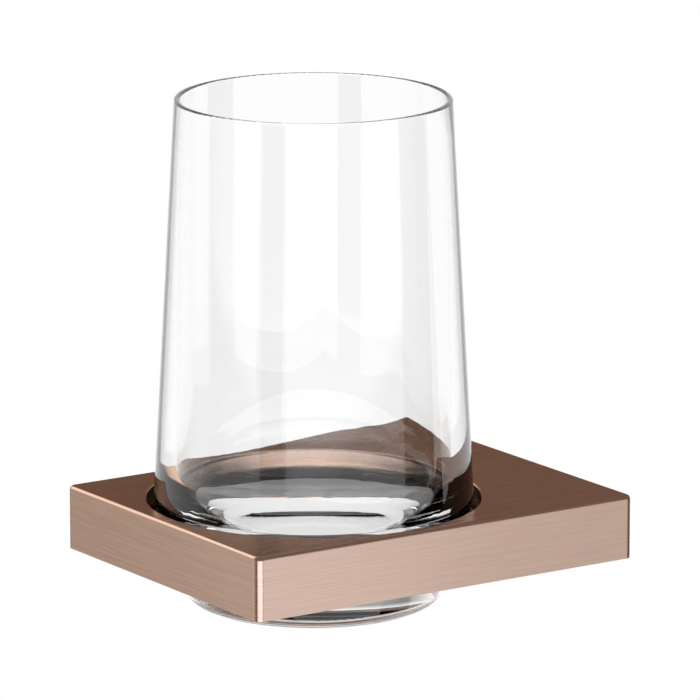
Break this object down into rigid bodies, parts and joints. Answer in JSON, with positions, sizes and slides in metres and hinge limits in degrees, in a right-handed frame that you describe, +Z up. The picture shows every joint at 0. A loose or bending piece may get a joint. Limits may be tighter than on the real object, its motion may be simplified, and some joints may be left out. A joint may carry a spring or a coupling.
{
  "type": "wall-mounted tumbler holder",
  "caption": "Wall-mounted bathroom tumbler holder: a flat brushed metal plate with a round bore and a black-ringed seat that carries a heavy, slightly tapered clear glass tumbler.",
  "frame": {"origin": "centre of the wall plate's rear face, on the wall plane, at mid-height of the holder plate", "axes": "+Y points into the wall, so the holder reaches out along -Y; +Z is up, along the tumbler's axis; +X runs along the wall"},
  "size_m": [0.087, 0.111, 0.1265],
  "materials": {
    "brushed_bronze": "brushed, bronze-coloured PVD coating",
    "black_plastic": "satin moulded",
    "grey_plastic": "satin moulded",
    "clear_glass": "clear, polished",
    "zinc_steel": "plain zinc-plated steel",
    "black_steel": "blackened hardened steel"
  },
  "bodies": {
    "holder": {"holder_body": "brushed_bronze", "wall_plate": "zinc_steel", "grub_screw_left": "black_steel", "grub_screw_right": "black_steel"},
    "seat": {"seat_insert": "grey_plastic", "seat_ring": "black_plastic"},
    "tumbler": {"tumbler": "clear_glass"}
  },
  "joints": [
    {"name": "seat_lift", "type": "slide", "parent": "holder", "child": "seat", "axis": [0, 0, 1], "range_m": [0, 0.0185]},
    {"name": "tumbler_lift", "type": "slide", "parent": "seat", "child": "tumbler", "axis": [0, 0, 1], "range_m": [0, 0.034]}
  ]
}
